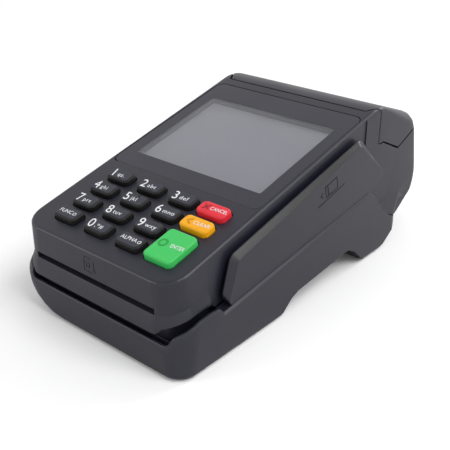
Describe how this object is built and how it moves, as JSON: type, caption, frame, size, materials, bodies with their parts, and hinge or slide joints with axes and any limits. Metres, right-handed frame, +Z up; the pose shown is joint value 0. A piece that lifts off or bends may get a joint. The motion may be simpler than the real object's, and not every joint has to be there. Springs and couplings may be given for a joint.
{
  "type": "payment terminal",
  "caption": "Wedge-shaped counter payment terminal with a sloped keypad and display, a chip-card slot in front, a swipe channel at the side and a hinged printer cover at the rear.",
  "frame": {"origin": "on the table, under the middle of the terminal's width and length", "axes": "+X to the user's right, +Y from the front with the card slot to the rear with the printer, +Z up"},
  "size_m": [0.081, 0.1564, 0.0612],
  "materials": {
    "charcoal_housing": "fine moulded texture",
    "charcoal_base": "fine moulded texture",
    "bezel_plastic": "satin printed film",
    "clear_window": "clear acrylic",
    "lcd_glass": "grey panel, switched off",
    "grey_foam": "closed-cell foam",
    "dark_key": "matt silicone",
    "red_key": "matt silicone",
    "yellow_key": "matt silicone",
    "green_key": "matt silicone",
    "black_rubber": "matt",
    "black_plastic": "moulded",
    "circuit_board": "solder mask",
    "gold_contacts": "plated",
    "brass_gear": "cut",
    "white_gear_plastic": "moulded acetal",
    "battery_wrap": "shrink film",
    "steel": "bright"
  },
  "bodies": {
    "terminal": {"lower_housing": "charcoal_base", "upper_housing": "charcoal_housing", "swipe_rail": "charcoal_base", "display_bezel": "bezel_plastic", "display_window": "clear_window", "display_gasket": "grey_foam", "lcd_panel": "lcd_glass", "keypad_mat": "black_rubber", "main_board": "circuit_board", "chip_card_reader": "black_plastic", "card_contacts": "gold_contacts", "stripe_head": "steel", "stripe_head_spring": "steel", "printer_frame": "steel", "print_head": "steel", "print_head_spring": "steel", "stepper_motor": "steel", "tear_bar": "steel", "paper_tray": "black_plastic", "cover_hinge_pin": "steel", "battery_pack": "battery_wrap", "battery_door": "charcoal_base", "rubber_feet": "black_rubber", "case_screws": "steel", "usb_socket": "steel"},
    "cover": {"printer_cover": "charcoal_housing", "platen_bushes": "white_gear_plastic"},
    "platen": {"platen_roller": "black_rubber", "platen_shaft": "steel", "platen_gear": "white_gear_plastic"},
    "idler": {"idler_gear": "white_gear_plastic"},
    "pinion": {"motor_pinion": "brass_gear"},
    "key_1": {"key_1": "dark_key"},
    "key_2": {"key_2": "dark_key"},
    "key_3": {"key_3": "dark_key"},
    "key_4": {"key_4": "dark_key"},
    "key_5": {"key_5": "dark_key"},
    "key_6": {"key_6": "dark_key"},
    "key_7": {"key_7": "dark_key"},
    "key_8": {"key_8": "dark_key"},
    "key_9": {"key_9": "dark_key"},
    "key_0": {"key_0": "dark_key"},
    "key_func": {"key_func": "dark_key"},
    "key_alpha": {"key_alpha": "dark_key"},
    "key_cancel": {"key_cancel": "red_key"},
    "key_clear": {"key_clear": "yellow_key"},
    "key_enter": {"key_enter": "green_key"}
  },
  "joints": [
    {"name": "cover_hinge", "type": "hinge", "parent": "terminal", "child": "cover", "pos_m": [-0.0013, 0.07357, 0.0336], "axis": [-1, 0, 0], "range_deg": [0, 85]},
    {"name": "platen_spin", "type": "hinge", "parent": "cover", "child": "platen", "pos_m": [-0.0013, 0.04106, 0.05168], "axis": [1, 0, 0], "continuous": true},
    {"name": "idler_spin", "type": "hinge", "parent": "terminal", "child": "idler", "pos_m": [-0.0013, 0.03257, 0.04319], "axis": [1, 0, 0], "continuous": true},
    {"name": "pinion_spin", "type": "hinge", "parent": "terminal", "child": "pinion", "pos_m": [-0.0013, 0.02271, 0.0396], "axis": [1, 0, 0], "continuous": true},
    {"name": "key_1_press", "type": "slide", "parent": "terminal", "child": "key_1", "axis": [0, 0.2368, -0.9715], "range_m": [0, 0.001], "stiffness_N_per_m": 250},
    {"name": "key_2_press", "type": "slide", "parent": "terminal", "child": "key_2", "axis": [0, 0.2368, -0.9715], "range_m": [0, 0.001], "stiffness_N_per_m": 250},
    {"name": "key_3_press", "type": "slide", "parent": "terminal", "child": "key_3", "axis": [0, 0.2368, -0.9715], "range_m": [0, 0.001], "stiffness_N_per_m": 250},
    {"name": "key_4_press", "type": "slide", "parent": "terminal", "child": "key_4", "axis": [0, 0.2368, -0.9715], "range_m": [0, 0.001], "stiffness_N_per_m": 250},
    {"name": "key_5_press", "type": "slide", "parent": "terminal", "child": "key_5", "axis": [0, 0.2368, -0.9715], "range_m": [0, 0.001], "stiffness_N_per_m": 250},
    {"name": "key_6_press", "type": "slide", "parent": "terminal", "child": "key_6", "axis": [0, 0.2368, -0.9715], "range_m": [0, 0.001], "stiffness_N_per_m": 250},
    {"name": "key_7_press", "type": "slide", "parent": "terminal", "child": "key_7", "axis": [0, 0.2368, -0.9715], "range_m": [0, 0.001], "stiffness_N_per_m": 250},
    {"name": "key_8_press", "type": "slide", "parent": "terminal", "child": "key_8", "axis": [0, 0.2368, -0.9715], "range_m": [0, 0.001], "stiffness_N_per_m": 250},
    {"name": "key_9_press", "type": "slide", "parent": "terminal", "child": "key_9", "axis": [0, 0.2368, -0.9715], "range_m": [0, 0.001], "stiffness_N_per_m": 250},
    {"name": "key_0_press", "type": "slide", "parent": "terminal", "child": "key_0", "axis": [0, 0.2368, -0.9715], "range_m": [0, 0.001], "stiffness_N_per_m": 250},
    {"name": "key_func_press", "type": "slide", "parent": "terminal", "child": "key_func", "axis": [0, 0.2368, -0.9715], "range_m": [0, 0.001], "stiffness_N_per_m": 250},
    {"name": "key_alpha_press", "type": "slide", "parent": "terminal", "child": "key_alpha", "axis": [0, 0.2368, -0.9715], "range_m": [0, 0.001], "stiffness_N_per_m": 250},
    {"name": "key_cancel_press", "type": "slide", "parent": "terminal", "child": "key_cancel", "axis": [0, 0.2368, -0.9715], "range_m": [0, 0.001], "stiffness_N_per_m": 250},
    {"name": "key_clear_press", "type": "slide", "parent": "terminal", "child": "key_clear", "axis": [0, 0.2368, -0.9715], "range_m": [0, 0.001], "stiffness_N_per_m": 250},
    {"name": "key_enter_press", "type": "slide", "parent": "terminal", "child": "key_enter", "axis": [0, 0.2368, -0.9715], "range_m": [0, 0.001], "stiffness_N_per_m": 250}
  ],
  "couplings": [
    {"joint": "idler_spin", "follows": "platen_spin", "ratio": -0.71429},
    {"joint": "pinion_spin", "follows": "platen_spin", "ratio": 1.4286}
  ]
}
